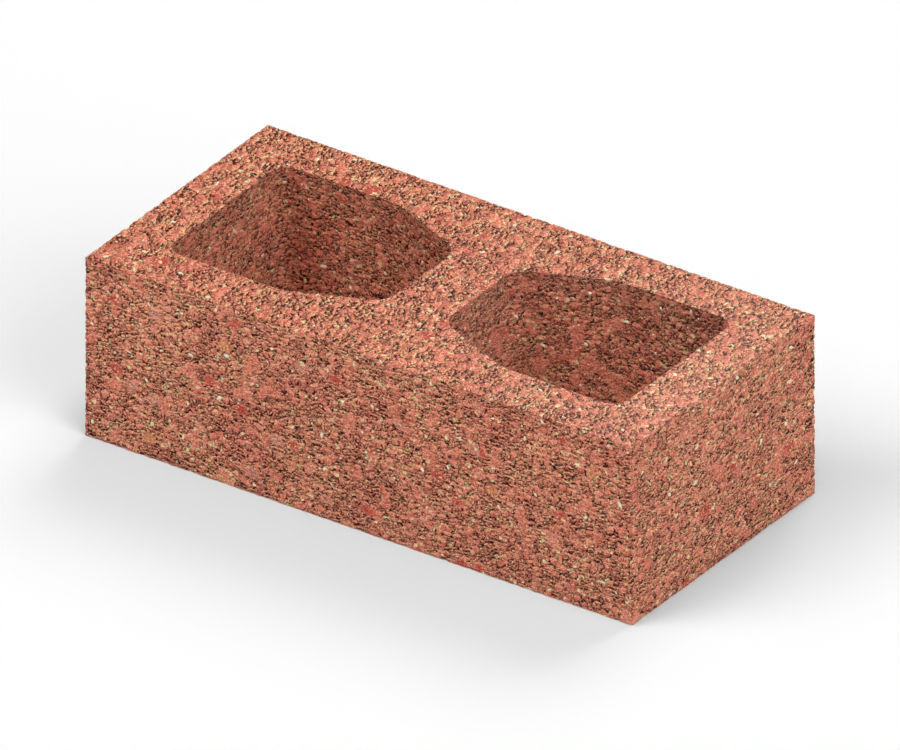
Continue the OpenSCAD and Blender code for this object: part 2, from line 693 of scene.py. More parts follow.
    def material(self) -> Material:
        """Makes the material.

        Returns:
            A procedural material that reads the place that each point had before its face crumbled.
        """
        made = new_material(self.name)
        tree = made.node_tree
        place = out(add_node(tree, "ShaderNodeAttribute", attribute_name=REST), "Vector")
        toward_light = out(add_node(tree, "ShaderNodeAttribute", attribute_name=PAINTED_LIGHT_WAY), "Vector")
        bed = out(add_node(tree, "ShaderNodeAttribute", attribute_name=BED), "Fac")
        at = self.pattern.lay(tree, place, toward_light, bed)
        grit = add_node(tree, "ShaderNodeSeparateColor", {"Color": at.grit_tone})
        toned = self.toned(tree, at, grit, bed, self.clay(tree, at))
        sanded = self.sanded(tree, at, grit, toned)
        # Painted shade down in the open crevices, on the crumbs' side away from the painted light
        colours = {"Factor": at.crevice, "A": sanded, "B": linear(self.crevice)}
        colour = add_node(tree, "ShaderNodeMix", colours, data_type="RGBA")

        leaning = {0: at.grit_lean, 1: self.grit_tilt}
        height = add_node(tree, "ShaderNodeMath", leaning, operation="MULTIPLY")
        for share, drop in ((at.fallen, self.fall_relief), (at.crevice, self.crevice_relief)):
            drops = {0: share, 1: -mm(drop), 2: height}
            height = add_node(tree, "ShaderNodeMath", drops, operation="MULTIPLY_ADD")
        bump = add_node(tree, "ShaderNodeBump", {"Height": height, "Strength": 1.0, "Distance": 1.0})
        surface = {
            "Base Color": colour,
            "Roughness": self.roughness,
            "IOR": self.ior,
            "Specular IOR Level": self.gloss,
            "Normal": bump,
        }
        shader = add_node(tree, "ShaderNodeBsdfPrincipled", surface)
        add_node(tree, "ShaderNodeOutputMaterial", {"Surface": shader})
        return made


@dataclass(frozen=True)
class GrainFinish:
    """The finish of sand and chips: each grain has a shade of its own, mottled.

    Attributes:
        name: The material's name.
        shades: sRGB colours from the darkest grain to the palest, evenly spread.
        mottle: How much darker and paler the mottling gets.
        mottle_size: Size of the mottling.
        pit: Depth of the pits that go with it.
        pit_share: How far the pits show in the shading.
        roughness: How matt the grain is.
        ior: Index of refraction of the grain.
    """

    name: str
    shades: tuple[str, ...]
    mottle: float = 0.15
    mottle_size: float = 0.6
    pit: float = 0.2
    pit_share: float = 0.6
    roughness: float = 0.8
    ior: float = 1.5

    def material(self) -> Material:
        """Makes the material.

        Returns:
            A procedural material that reads Object coordinates and the grain's shade.
        """
        made = new_material(self.name)
        tree = made.node_tree
        place = out(add_node(tree, "ShaderNodeTexCoord"), "Object")
        shade = out(add_node(tree, "ShaderNodeAttribute", attribute_name=SHADE), "Fac")
        ramp = add_node(tree, "ShaderNodeValToRGB", {"Fac": shade})
        spread_colours(ramp, self.shades)
        mottling = {"Vector": place, "Scale": 1 / mm(self.mottle_size), "Detail": 2.0}
        noise = add_node(tree, "ShaderNodeTexNoise", mottling)
        spans = {
            "Value": noise,
            "From Min": MEAN - NOISE_REACH,
            "From Max": MEAN + NOISE_REACH,
            "To Min": 1 - self.mottle,
            "To Max": 1 + self.mottle,
        }
        level = add_node(tree, "ShaderNodeMapRange", spans)
        colours = {0: out(ramp, "Color"), "Scale": level}
        toned = add_node(tree, "ShaderNodeVectorMath", colours, operation="SCALE")
        pits = {"Height": noise, "Strength": self.pit_share, "Distance": mm(self.pit)}
        bump = add_node(tree, "ShaderNodeBump", pits)
        surface = {"Base Color": toned, "Roughness": self.roughness, "IOR": self.ior, "Normal": bump}
        shader = add_node(tree, "ShaderNodeBsdfPrincipled", surface)
        add_node(tree, "ShaderNodeOutputMaterial", {"Surface": shader})
        return made


class Finish(Enum):
    """The materials that the brick is made of."""

    # Red clay, crushed, dry-pressed and fired: matt crumbs, salmon to brick red, with dark crevices between,
    # whose dark is painted shade, and with painted highlights on the crumbs' edges
    CLAY = ClayFinish(
        "fired_red_clay",
        CrumbPattern(),
        shades=("#eb846b", "#ef8e75", "#e9876f", "#f0967e", "#e4816b", "#ed8c73"),
        sand=("#efc67e", "#fff3c4"),
    )
    # Buff quartz sand, crushed: pale yellow angular grains
    SAND = GrainFinish("buff_sand", ("#d9ad6e", "#efcf94", "#fdf0cc"), roughness=0.7, ior=1.54)
    # Feldspar, crushed: off-white chips, smoother than the sand
    FELDSPAR = GrainFinish("pale_feldspar", ("#f4e2ae", "#fff8dc"), mottle=0.06, roughness=0.6, ior=1.53)
    # Ironstone, burnt in the kiln: rare black flecks
    IRONSTONE = GrainFinish("ironstone_fleck", ("#241a18", "#3a2a26"), roughness=0.6, ior=1.6)


class Side(Enum):
    """The brick's faces, by the names of their pieces."""

    FRONT = "front_face"
    BACK = "back_face"
    LEFT = "left_end"
    RIGHT = "right_end"
    TOP = "top_bed"
    BOTTOM = "bottom_bed"
    LEFT_CORE = "left_core"
    RIGHT_CORE = "right_core"

    @property
    def is_core(self) -> bool:
        """Whether the face is the wall of a core."""
        return self in (Side.LEFT_CORE, Side.RIGHT_CORE)

    @property
    def axes(self) -> list[int]:
        """The axes along a flat face.

        Returns:
            The two axes' numbers, from 0 for x to 2 for z.
        """
        if self in (Side.TOP, Side.BOTTOM):
            return [0, 1]
        return [0, 2] if self in (Side.FRONT, Side.BACK) else [1, 2]


class MapPart(NamedTuple):
    """A rectangle of the map that a tile's textures are painted through, which is 1 wide and 1 high.

    Attributes:
        left: Where it starts, across the map.
        low: Where it starts, up the map.
        width: How wide it is.
        height: How high it is.
    """

    left: float
    low: float
    width: float
    height: float

    def put(self, across: np.ndarray, up: np.ndarray) -> np.ndarray:
        """Puts points, given as shares of the rectangle's width and height, on the map."""
        return np.stack((self.left + self.width * across, self.low + self.height * up), 1)


# Where the seen face of a flat tile and its hidden faces lie on its map
FLAT_SEEN = MapPart(0.01, 0.01, 0.98, 0.98)
FLAT_HIDDEN = MapPart(0.01, 0.71, 0.294, 0.294)
# The same for the tile of a core, whose seen face is laid out in quarters, two by two from this one
CORE_SEEN = MapPart(0.03, 0.02, 0.44, 0.41)
CORE_STEP = np.array((0.5, 0.43))
CORE_HIDDEN = MapPart(0.05, 0.9, 0.9, 0.08)


@dataclass
class CrumbledFaces:
    """The brick's faces, crumbled below the solid's own flat ones.

    Attributes:
        finish: What they are made of.
        cell: Size of the mesh's faces.
        halvings: How many times the box that the mesh is cut from is halved to come down to that size.
        sink: Depth that every crumb lies below the solid's face.
        step: How much deeper one crumb may lie than the next.
        tilt: How steeply crumbs are tilted.
        fall: How far a crumb's open edge falls away.
        crevice: Depth of the crevices.
        grit_tilt: How steeply the grit is tilted.
        arris_angle: Least angle in degrees between two faces that meet at an arris.
        arris_band: How far from an arris the crumbs get their full relief.
        arris_share: Share of the relief that is left at an arris, which stays straight.
        thickness: Thickness of the tiles.
        wall_light_way: Which way the painted light comes from on the walls, where they run that way.
        bed_light_way: Which way the painted light comes from on the beds.
    """

    finish: ClayFinish
    cell: float = 0.7
    halvings: int = 9
    sink: float = 0.05
    step: float = 0.18
    tilt: float = 0.45
    fall: float = 0.2
    crevice: float = 0.4
    grit_tilt: float = 0.25
    arris_angle: float = 40.0
    arris_band: float = 4.0
    arris_share: float = 0.1
    thickness: float = 3.0
    wall_light_way: tuple[float, float, float] = (-0.15, -0.3, 0.97)
    bed_light_way: tuple[float, float, float] = (0.98, 0.2, 0.0)

    def even_mesh(self, solid: Mesh, corner: Vector) -> Mesh:
        """Covers the solid with small even faces and notes which side each is on.

        Args:
            solid: The brick's closed mesh.
            corner: Half the brick's length and width and its height, in metres.

        Returns:
            A new closed mesh.
        """
        piece = in_scene("even_faces", solid)
        even = piece.modifiers.new("even_faces", "REMESH")
        even.mode = "SHARP"
        even.octree_depth = self.halvings
        even.scale = 2 * corner.x / (mm(self.cell) * 2**self.halvings)
        even.sharpness = 1.0
        graph = bpy.context.evaluated_depsgraph_get()
        mesh = bpy.data.meshes.new_from_object(piece.evaluated_get(graph), depsgraph=graph)
        bpy.data.objects.remove(piece)

        facing = read_all(mesh.polygons, "normal", 3)
        middle = read_all(mesh.polygons, "center", 3)
        outer = np.abs(middle) > np.array(corner) - mm(self.cell)
        square_on = np.abs(facing) > math.cos(math.radians(self.arris_angle))
        number = {side: place for place, side in enumerate(Side)}
        sides = np.where(middle[:, 0] < 0, number[Side.LEFT_CORE], number[Side.RIGHT_CORE])
        pairs = ((Side.LEFT, Side.RIGHT), (Side.FRONT, Side.BACK), (Side.BOTTOM, Side.TOP))
        for axis, (low, high) in enumerate(pairs):
            on_face = square_on[:, axis]
            if Side.TOP not in (low, high):
                on_face = on_face & outer[:, axis] & (facing[:, axis] * middle[:, axis] > 0)
            sides = np.where(on_face, np.where(facing[:, axis] < 0, number[low], number[high]), sides)
        mesh.attributes.new(SIDE, "INT", "FACE").data.foreach_set("value", sides.astype(np.int32))
        return mesh

    def near_arris(self, tree: NodeTree, given: Node) -> Source:
        """Finds how much of the relief is left near the arrises and the cores' mouths.

        Args:
            tree: The tree that crumbles the faces.
            given: The tree's inputs.

        Returns:
            The share of the relief at a point.
        """
        solid = add_node(tree, "GeometryNodeObjectInfo", {"Object": out(given, "Solid")})
        bend = add_node(tree, "GeometryNodeInputMeshEdgeAngle")
        sharp = add_node(
            tree,
            "FunctionNodeCompare",
            {"A": out(bend, "Unsigned Angle"), "B": math.radians(self.arris_angle)},
            data_type="FLOAT",
            operation="GREATER_THAN",
        )
        edges = {"Geometry": out(solid, "Geometry"), "Selection": sharp}
        arrises = add_node(tree, "GeometryNodeSeparateGeometry", edges, domain="EDGE")
        to_arris = add_node(tree, "GeometryNodeProximity", {0: arrises}, target_element="EDGES")
        spans = {
            "Value": out(to_arris, "Distance"),
            "From Max": out(given, "Arris Band"),
            "To Min": out(given, "Arris Share"),
        }
        return add_node(tree, "ShaderNodeMapRange", spans)

    def crumbling_tree(self) -> NodeTree:
        """Makes the tree that crumbles the faces.

        Returns:
            A geometry tree with named inputs for the solid and its sizes.
        """
        sizes = ("Sink", "Step", "Tilt", "Fall", "Crevice", "Grit Tilt", "Arris Band", "Arris Share")
        inputs = {"Geometry": "Geometry", **dict.fromkeys(sizes, "Float"), "Solid": "Object"}
        tree = new_tree("crumbled_faces", inputs)
        given = add_node(tree, "NodeGroupInput")
        place = add_node(tree, "GeometryNodeInputPosition")
        outward = out(add_node(tree, "GeometryNodeInputNormal"))
        upright = add_node(tree, "ShaderNodeSeparateXYZ", {0: outward})
        bed = add_node(tree, "ShaderNodeMath", {0: out(upright, "Z")}, operation="ABSOLUTE")
        # The way the painted light comes from, along each face: mostly up the walls and along the length of
        # the beds
        ways = {"Factor": bed, "A": self.wall_light_way, "B": self.bed_light_way}
        light_from = add_node(tree, "ShaderNodeMix", ways, data_type="VECTOR")
        across = add_node(tree, "ShaderNodeVectorMath", {0: light_from, 1: outward}, operation="PROJECT")
        along = add_node(tree, "ShaderNodeVectorMath", {0: light_from, 1: across}, operation="SUBTRACT")
        toward_light = add_node(tree, "ShaderNodeVectorMath", {0: along}, operation="NORMALIZE")
        kept = out(given, "Geometry")
        for name, value, kind in (
            (REST, place, "FLOAT_VECTOR"),
            (PAINTED_LIGHT_WAY, toward_light, "FLOAT_VECTOR"),
            (BED, bed, "FLOAT"),
        ):
            note = {"Geometry": kept, "Name": name, "Value": value}
            kept = add_node(tree, "GeometryNodeStoreNamedAttribute", note, data_type=kind, domain="POINT")

        at = self.finish.pattern.lay(tree, place, toward_light, bed)
        drawn = add_node(tree, "ShaderNodeSeparateXYZ", {0: at.tone})
        depth = out(given, "Sink")
        for share, most in (
            (out(drawn, "Y"), "Step"),
            (at.lean, "Tilt"),
            (at.fallen, "Fall"),
            (at.crevice, "Crevice"),
            (at.grit_lean, "Grit Tilt"),
        ):
            deeper = {0: share, 1: out(given, most), 2: depth}
            depth = add_node(tree, "ShaderNodeMath", deeper, operation="MULTIPLY_ADD")
        below = add_node(tree, "ShaderNodeMath", {0: depth, 1: 0.0}, operation="MAXIMUM")
        share = self.near_arris(tree, given)
        move = add_node(tree, "ShaderNodeMath", {0: below, 1: share}, operation="MULTIPLY")
        back = add_node(tree, "ShaderNodeMath", {0: move, 1: -1.0}, operation="MULTIPLY")
        offset = add_node(tree, "ShaderNodeVectorMath", {0: outward, "Scale": back}, operation="SCALE")
        moved = add_node(tree, "GeometryNodeSetPosition", {"Geometry": kept, "Offset": offset})
        add_node(tree, "NodeGroupOutput", {"Geometry": moved})
        return tree

    def side_tree(self) -> NodeTree:
        """Makes the tree that keeps one side of the brick and dresses it.

        Returns:
            A geometry tree with named inputs for the side's number and its material.
        """
        tree = new_tree("one_side", {"Geometry": "Geometry", "Side": "Int", "Material": "Material"})
        given = add_node(tree, "NodeGroupInput")
        side = add_node(tree, "GeometryNodeInputNamedAttribute", {"Name": SIDE}, data_type="INT")
        numbers = {"A": side, "B": out(given, "Side")}
        on_side = add_node(tree, "FunctionNodeCompare", numbers, data_type="INT", operation="EQUAL")
        faces = {"Geometry": out(given, "Geometry"), "Selection": on_side}
        one_side = add_node(tree, "GeometryNodeSeparateGeometry", faces, domain="FACE")
        smooth = add_node(tree, "GeometryNodeSetShadeSmooth", {"Geometry": one_side, "Shade Smooth": True})
        dress = {"Geometry": smooth, "Material": out(given, "Material")}
        dressed = add_node(tree, "GeometryNodeSetMaterial", dress)
        add_node(tree, "NodeGroupOutput", {"Geometry": dressed})
        return tree

    def mitred(self, place: np.ndarray, corner: Vector) -> np.ndarray:
        """Finds where the back corners of a tile lie, so that it is mitred to the next tile.

        Args:
            place: Points on the brick's arrises and round its cores' mouths, in metres.
            corner: Half the brick's length and width and its height, in metres.

        Returns:
            The back corner for each point.
        """
        middle = np.array((0, 0, corner.z / 2))
        half = np.array((corner.x, corner.y, corner.z / 2))
        back = middle + (place - middle) * (1 - mm(self.thickness) / half)
        on_arris = (np.abs(place[:, :2]) > half[:2] - mm(self.cell) / 2).any(1)
        mouth = np.where(on_arris, 0, np.sign(place[:, 0]))
        for core in (-1, 1):
            for is_top in (False, True):
                rim = (mouth == core) & ((place[:, 2] > middle[2]) == is_top)
                if rim.any():
                    low, high = place[rim, :2].min(0), place[rim, :2].max(0)
                    wider = 1 + mm(self.thickness) / ((high - low) / 2)
                    back[rim, :2] = (low + high) / 2 + (place[rim, :2] - (low + high) / 2) * wider
        return back

    def back_faces(self, place: np.ndarray, lines: np.ndarray) -> list[list[int]]:
        """Finds triangles that fill the back of a flat tile, but not the cores.

        Args:
            place: The back corners, in the plane of the tile.
            lines: The two corners at the ends of each line round the back or round a core.

        Returns:
            The three corners of each triangle.
        """
        start, end = place[lines[:, 0]], place[lines[:, 1]]
        rise = end[:, 1] - start[:, 1]
        spots = [Vector(spot) for spot in place]
        # With this choice the filling keeps to what lies inside the outermost lines.
        inside_only = 1
        filling = delaunay_2d_cdt(spots, lines.tolist(), [], inside_only, 0.0)
        triangles, sources = filling[2:4]
        kept = []
        for triangle in triangles:
            corners = [sources[number][0] for number in triangle]
            middle = place[corners].mean(0)
            # In the clay, an odd number of lines lies to the right of the triangle.
            level = (start[:, 1] > middle[1]) != (end[:, 1] > middle[1])
            share = (middle[1] - start[level, 1]) / rise[level]
            beside = start[level, 0] + share * (end[level, 0] - start[level, 0]) > middle[0]
            if np.count_nonzero(beside) % 2:
                kept.append(corners)
        return kept

    def close(self, piece: Object, side: Side, corner: Vector) -> None:
        """Closes a face behind, which makes it a thin tile.

        Args:
            piece: The face's piece, an open sheet.
            side: Which face it is.
            corner: Half the brick's length and width and its height, in metres.
        """
        tile = bmesh.new()
        tile.from_mesh(piece.data)
        rest = tile.verts.layers.float_vector[REST]
        hidden = tile.faces.layers.int.new(HIDDEN)
        seen = set(tile.faces)
        rim = [edge for edge in tile.edges if edge.is_boundary]
        made = bmesh.ops.extrude_edge_only(tile, edges=rim)["geom"]
        ends = [part for part in made if isinstance(part, bmesh.types.BMVert)]
        inner_rim = [part for part in made if isinstance(part, bmesh.types.BMEdge) and part.is_boundary]
        back = self.mitred(np.round([end[rest] for end in ends], RIM_DIGITS), corner)
        for end, place in zip(ends, back, strict=True):
            end.co = place
        if side.is_core:
            bmesh.ops.bridge_loops(tile, edges=inner_rim)
        else:
            number = {end: place for place, end in enumerate(ends)}
            lines = np.array([[number[end] for end in edge.verts] for edge in inner_rim])
            for corners in self.back_faces(back[:, side.axes], lines):
                tile.faces.new([ends[place] for place in corners])
        for edge in rim + inner_rim:
            edge.smooth = False
        for face in tile.faces:
            if face not in seen:
                face.smooth = False
                face[hidden] = 1
        bmesh.ops.recalc_face_normals(tile, faces=tile.faces)
        tile.to_mesh(piece.data)
        tile.free()

    def unwrap(self, piece: Object, side: Side) -> None:
        """Lays a tile out flat on a map: what is seen in the large, and above it what is hidden.

        Args:
            piece: The tile.
            side: Which face it is.
        """
        mesh = piece.data
        corner = read_all(mesh.loops, "vertex_index", kind=np.int32)
        place = read_all(mesh.vertices, "co", 3)[corner]
        count = read_all(mesh.polygons, "loop_total", kind=np.int32)
        first = np.concatenate(([0], np.cumsum(count)[:-1]))
        hidden = read_all(mesh.attributes[HIDDEN].data, "value", kind=np.int32)
        is_hidden = np.repeat(hidden, count)[:, None] == 1
        low, high = place.min(0), place.max(0)
        if side.is_core:
            middle = (low + high) / 2
            turn = np.arctan2(place[:, 1] - middle[1], place[:, 0] - middle[0]) / math.tau + 0.5
            # A face that lies across the start of the turn stays in one piece.
            least = np.repeat(np.minimum.reduceat(turn, first), count)
            turn = np.where((turn < 0.5) | (turn - least < 0.5), turn, turn - 1)
            up = (place[:, 2] - low[2]) / (high[2] - low[2])
            quarter = np.repeat(np.floor(np.add.reduceat(turn, first) / count * 4), count)
            column_and_row = np.stack((quarter % 2, quarter % 4 // 2), 1)
            seen = CORE_SEEN.put(4 * turn - quarter, up) + column_and_row * CORE_STEP
            behind = CORE_HIDDEN.put(turn, up)
        else:
            longest = (high - low)[side.axes].max()
            across, up = ((place - low) / longest)[:, side.axes].T
            seen = FLAT_SEEN.put(across, up)
            behind = FLAT_HIDDEN.put(across, up)
        flat = np.where(is_hidden, behind, seen)
        paint_map = mesh.uv_layers.new(name=PAINT_MAP)
        paint_map.uv.foreach_set("vector", flat.astype(np.float32).ravel())

    def build(self, solid: Mesh, corner: Vector) -> list[Object]:
        """Makes the faces, each as a tile of its own.

        Args:
            solid: The brick's closed mesh.
            corner: Half the brick's length and width and its height, in metres.

        Returns:
            The finished pieces.
        """
        whole = in_scene("crumbled_faces", self.even_mesh(solid, corner))
        plain = in_scene("plain_faces", solid)
        sizes = {
            "Sink": mm(self.sink),
            "Step": mm(self.step),
            "Tilt": self.tilt,
            "Fall": mm(self.fall),
            "Crevice": mm(self.crevice),
            "Grit Tilt": self.grit_tilt,
            "Arris Band": mm(self.arris_band),
            "Arris Share": self.arris_share,
            "Solid": plain,
        }
        crumbled = made_plain(whole, self.crumbling_tree(), sizes).data
        bpy.data.objects.remove(whole)
        bpy.data.objects.remove(plain)
        tree = self.side_tree()
        material = self.finish.material()
        pieces = []
        for number, side in enumerate(Side):
            piece = in_scene(side.value, crumbled)
            made_plain(piece, tree, {"Side": number, "Material": material})
            self.close(piece, side, corner)
            self.unwrap(piece, side)
            pieces.append(piece)
        return pieces


class Draw(Enum):
    """What is drawn for each grain, by the seed of the draw."""

    TWIST = 22
    SIZE = 23
    SHAPE = 24
    SHADE = 25
    DEPTH = 26


@dataclass
class Grains:
    """One lot of sand or chips, lying in the clay with their tops flush with the brick's faces.

    Attributes:
        name: The piece's name.
        finish: What the grains are made of.
        radius: Mean radius of a grain.
        spread: How much a grain may be larger or smaller than the mean, as a share.
        flatness: Height of a grain as a share of its width.
        flat_spread: How much that may be more or less, as a share.
        lengths: Least and greatest length of a grain, as shares of its size.
        widths: Least and greatest width of a grain, as shares of its size.
        lean: How far a grain may lean over, in radians.
        bury: How deep the middle of a grain lies, in radii.
        sunk: Greatest depth of a grain's flat top below the face.
        lumps: How far a grain's surface strays from round, as a share of its radius.
        lump_count: How many lumps lie along a radius.
        crown: How much of a grain's top stays rounded when it is pressed flush.
        gap: Least distance between two grains.
        tries: How many grains are tried in a square of that size, before those too near are left out.
        seed: Fixes where the grains lie.
    """

    name: str
    finish: Finish
    radius: float
    spread: float = 0.25
    flatness: float = 0.75
    flat_spread: float = 0.15
    lengths: tuple[float, float] = (0.85, 1.25)
    widths: tuple[float, float] = (0.7, 1.1)
    lean: float = 0.4
    bury: float = 0.5
    sunk: float = 0.15
    lumps: float = 0.25
    lump_count: float = 1.1
    crown: float = 0.15
    gap: float = 10.0
    tries: float = 1.5
    seed: int = 1

    def scattered(self, tree: NodeTree, given: Node) -> Source:
        """Scatters round grains over the brick's faces.

        Args:
            tree: The tree that lays the grains.
            given: The tree's inputs.

        Returns:
            The grains as plain geometry, each with its shade and the depth of its top.
        """
        places = {
            "Mesh": out(given, "Surface"),
            "Distance Min": out(given, "Gap"),
            "Density Max": self.tries / mm(self.gap) ** 2,
            "Seed": out(given, "Seed"),
        }
        spread = add_node(tree, "GeometryNodeDistributePointsOnFaces", places, distribute_method="POISSON")
        note = {"Geometry": out(spread, "Points"), "Name": FACING, "Value": out(spread, "Normal")}
        points = add_node(
            tree, "GeometryNodeStoreNamedAttribute", note, data_type="FLOAT_VECTOR", domain="POINT"
        )
        facing = add_node(tree, "GeometryNodeInputNamedAttribute", {"Name": FACING}, data_type="FLOAT_VECTOR")
        aligned = add_node(tree, "FunctionNodeAlignRotationToVector", {"Vector": facing}, axis="Z")

        spans = {
            Draw.TWIST: ((-self.lean, -self.lean, 0.0), (self.lean, self.lean, math.tau)),
            Draw.SIZE: (1 - self.spread, 1 + self.spread),
            Draw.SHAPE: (
                (self.lengths[0], self.widths[0], self.flatness * (1 - self.flat_spread)),
                (self.lengths[1], self.widths[1], self.flatness * (1 + self.flat_spread)),
            ),
            Draw.SHADE: (0.0, 1.0),
            Draw.DEPTH: (0.0, 1.0),
        }
        drawn = {}
        for draw, (least, most) in spans.items():
            kind = "FLOAT_VECTOR" if isinstance(least, tuple) else "FLOAT"
            bounds = {"Min": least, "Max": most, "Seed": draw.value}
            drawn[draw] = add_node(tree, "FunctionNodeRandomValue", bounds, data_type=kind)

        twist = add_node(tree, "FunctionNodeEulerToRotation", {"Euler": drawn[Draw.TWIST]})
        turns = {"Rotation": aligned, "Rotate By": twist}
        turned = add_node(tree, "FunctionNodeRotateRotation", turns, rotation_space="LOCAL")
        sizes = {0: out(given, "Radius"), 1: drawn[Draw.SIZE]}
        radius = add_node(tree, "ShaderNodeMath", sizes, operation="MULTIPLY")
        shape = {0: drawn[Draw.SHAPE], "Scale": radius}
        scale = add_node(tree, "ShaderNodeVectorMath", shape, operation="SCALE")
        ball = add_node(tree, "GeometryNodeMeshIcoSphere", {"Radius": 1.0, "Subdivisions": 1})
        balls = {"Points": points, "Instance": ball, "Rotation": turned, "Scale": scale}
        laid = add_node(tree, "GeometryNodeInstanceOnPoints", balls)
        depths = {0: radius, 1: -self.bury * self.flatness}
        down = add_node(tree, "ShaderNodeMath", depths, operation="MULTIPLY")
        inward = add_node(tree, "ShaderNodeVectorMath", {0: facing, "Scale": down}, operation="SCALE")
        sinking = {"Instances": laid, "Translation": inward, "Local Space": False}
        grains = add_node(tree, "GeometryNodeTranslateInstances", sinking)
        tops = {0: out(given, "Sunk"), 1: drawn[Draw.DEPTH]}
        sunk = add_node(tree, "ShaderNodeMath", tops, operation="MULTIPLY")
        for name, value in ((SHADE, drawn[Draw.SHADE]), (SUNK, sunk)):
            note = {"Geometry": grains, "Name": name, "Value": value}
            grains = add_node(
                tree, "GeometryNodeStoreNamedAttribute", note, data_type="FLOAT", domain="INSTANCE"
            )
        return add_node(tree, "GeometryNodeRealizeInstances", {"Geometry": grains})

    def lumpy(self, tree: NodeTree, given: Node, grains: Source) -> Source:
        """Makes round grains lumpy.

        Args:
            tree: The tree that lays the grains.
            given: The tree's inputs.
            grains: The round grains.

        Returns:
            The lumpy grains.
        """
        place = add_node(tree, "GeometryNodeInputPosition")
        radius = out(given, "Radius")
        lump_scale = add_node(tree, "ShaderNodeMath", {0: self.lump_count, 1: radius}, operation="DIVIDE")
        waves = {"Vector": place, "Scale": lump_scale, "Detail": 1.0}
        lump = add_node(tree, "ShaderNodeTexNoise", waves)
        noise = {0: out(lump, "Color"), 1: (MEAN, MEAN, MEAN)}
        centred = add_node(tree, "ShaderNodeVectorMath", noise, operation="SUBTRACT")
        reach = add_node(tree, "ShaderNodeMath", {0: out(given, "Lumps"), 1: radius}, operation="MULTIPLY")
        gain = add_node(tree, "ShaderNodeMath", {0: reach, 1: 1 / NOISE_REACH}, operation="MULTIPLY")
        stray = add_node(tree, "ShaderNodeVectorMath", {0: centred, "Scale": gain}, operation="SCALE")
        return add_node(tree, "GeometryNodeSetPosition", {"Geometry": grains, "Offset": stray})

    def flush(self, tree: NodeTree, given: Node, grains: Source) -> Source:
        """Presses what stands proud of the brick's faces back under them, the more the further out it stands.

        Args:
            tree: The tree that lays the grains.
            given: The tree's inputs.
            grains: The lumpy grains.

        Returns:
            The grains, no part of which stands out of the brick.
        """
        surface = out(given, "Surface")
        crown = out(given, "Crown")
        place = add_node(tree, "GeometryNodeInputPosition")
        near = add_node(tree, "GeometryNodeProximity", {0: surface}, target_element="FACES")
        on_face = out(near, "Position")
        normal = out(add_node(tree, "GeometryNodeInputNormal"), "True Normal")
        sample = {"Mesh": surface, "Value": normal, "Sample Position": place}
        outward = add_node(tree, "GeometryNodeSampleNearestSurface", sample, data_type="FLOAT_VECTOR")
        apart = add_node(tree, "ShaderNodeVectorMath", {0: place, 1: on_face}, operation="SUBTRACT")
        height = add_node(tree, "ShaderNodeVectorMath", {0: apart, 1: outward}, operation="DOT_PRODUCT")
        reach = add_node(tree, "ShaderNodeMath", {0: height, 1: crown}, operation="ADD")
        square = add_node(tree, "ShaderNodeMath", {0: crown, 1: crown}, operation="MULTIPLY")
        pressed = add_node(tree, "ShaderNodeMath", {0: square, 1: reach}, operation="DIVIDE")
        buried_by = add_node(tree, "ShaderNodeMath", {0: crown, 1: height}, operation="SUBTRACT")
        is_proud = add_node(tree, "ShaderNodeMath", {0: height, 1: 0.0}, operation="GREATER_THAN")
        depth = add_node(tree, "ShaderNodeMix", {"Factor": is_proud, "A": buried_by, "B": pressed})
        sunk = add_node(tree, "GeometryNodeInputNamedAttribute", {"Name": SUNK}, data_type="FLOAT")
        total = add_node(tree, "ShaderNodeMath", {0: depth, 1: sunk}, operation="ADD")
        back = add_node(tree, "ShaderNodeMath", {0: total, 1: -1.0}, operation="MULTIPLY")
        inside = add_node(tree, "ShaderNodeVectorMath", {0: outward, "Scale": back}, operation="SCALE")
        put = add_node(tree, "ShaderNodeVectorMath", {0: on_face, 1: inside}, operation="ADD")
        return add_node(tree, "GeometryNodeSetPosition", {"Geometry": grains, "Position": put})

    def tree(self) -> NodeTree:
        """Makes the tree that lays the grains.

        Returns:
            A geometry tree with named inputs for its sizes.
        """
        sizes = dict.fromkeys(("Radius", "Gap", "Sunk", "Lumps", "Crown"), "Float")
        inputs = {"Surface": "Geometry", **sizes, "Seed": "Int", "Material": "Material"}
        tree = new_tree(f"lay_{self.name}", inputs)
        given = add_node(tree, "NodeGroupInput")
        lumpy = self.lumpy(tree, given, self.scattered(tree, given))
        flush = self.flush(tree, given, lumpy)
        smooth = add_node(tree, "GeometryNodeSetShadeSmooth", {"Geometry": flush, "Shade Smooth": True})
        dress = {"Geometry": smooth, "Material": out(given, "Material")}
        dressed = add_node(tree, "GeometryNodeSetMaterial", dress)
        add_node(tree, "NodeGroupOutput", {"Geometry": dressed})
        return tree

    def build(self, solid: Mesh) -> Object:
        """Makes the grains as one piece.

        Args:
            solid: The brick's closed mesh.

        Returns:
            The finished piece.
        """
        sizes = {
            "Radius": mm(self.radius),
            "Gap": mm(self.gap),
            "Sunk": mm(self.sunk),
            "Lumps": self.lumps,
            "Crown": mm(self.crown),
            "Seed": self.seed,
            "Material": self.finish.value.material(),
        }
        return made_plain(in_scene(self.name, solid), self.tree(), sizes)


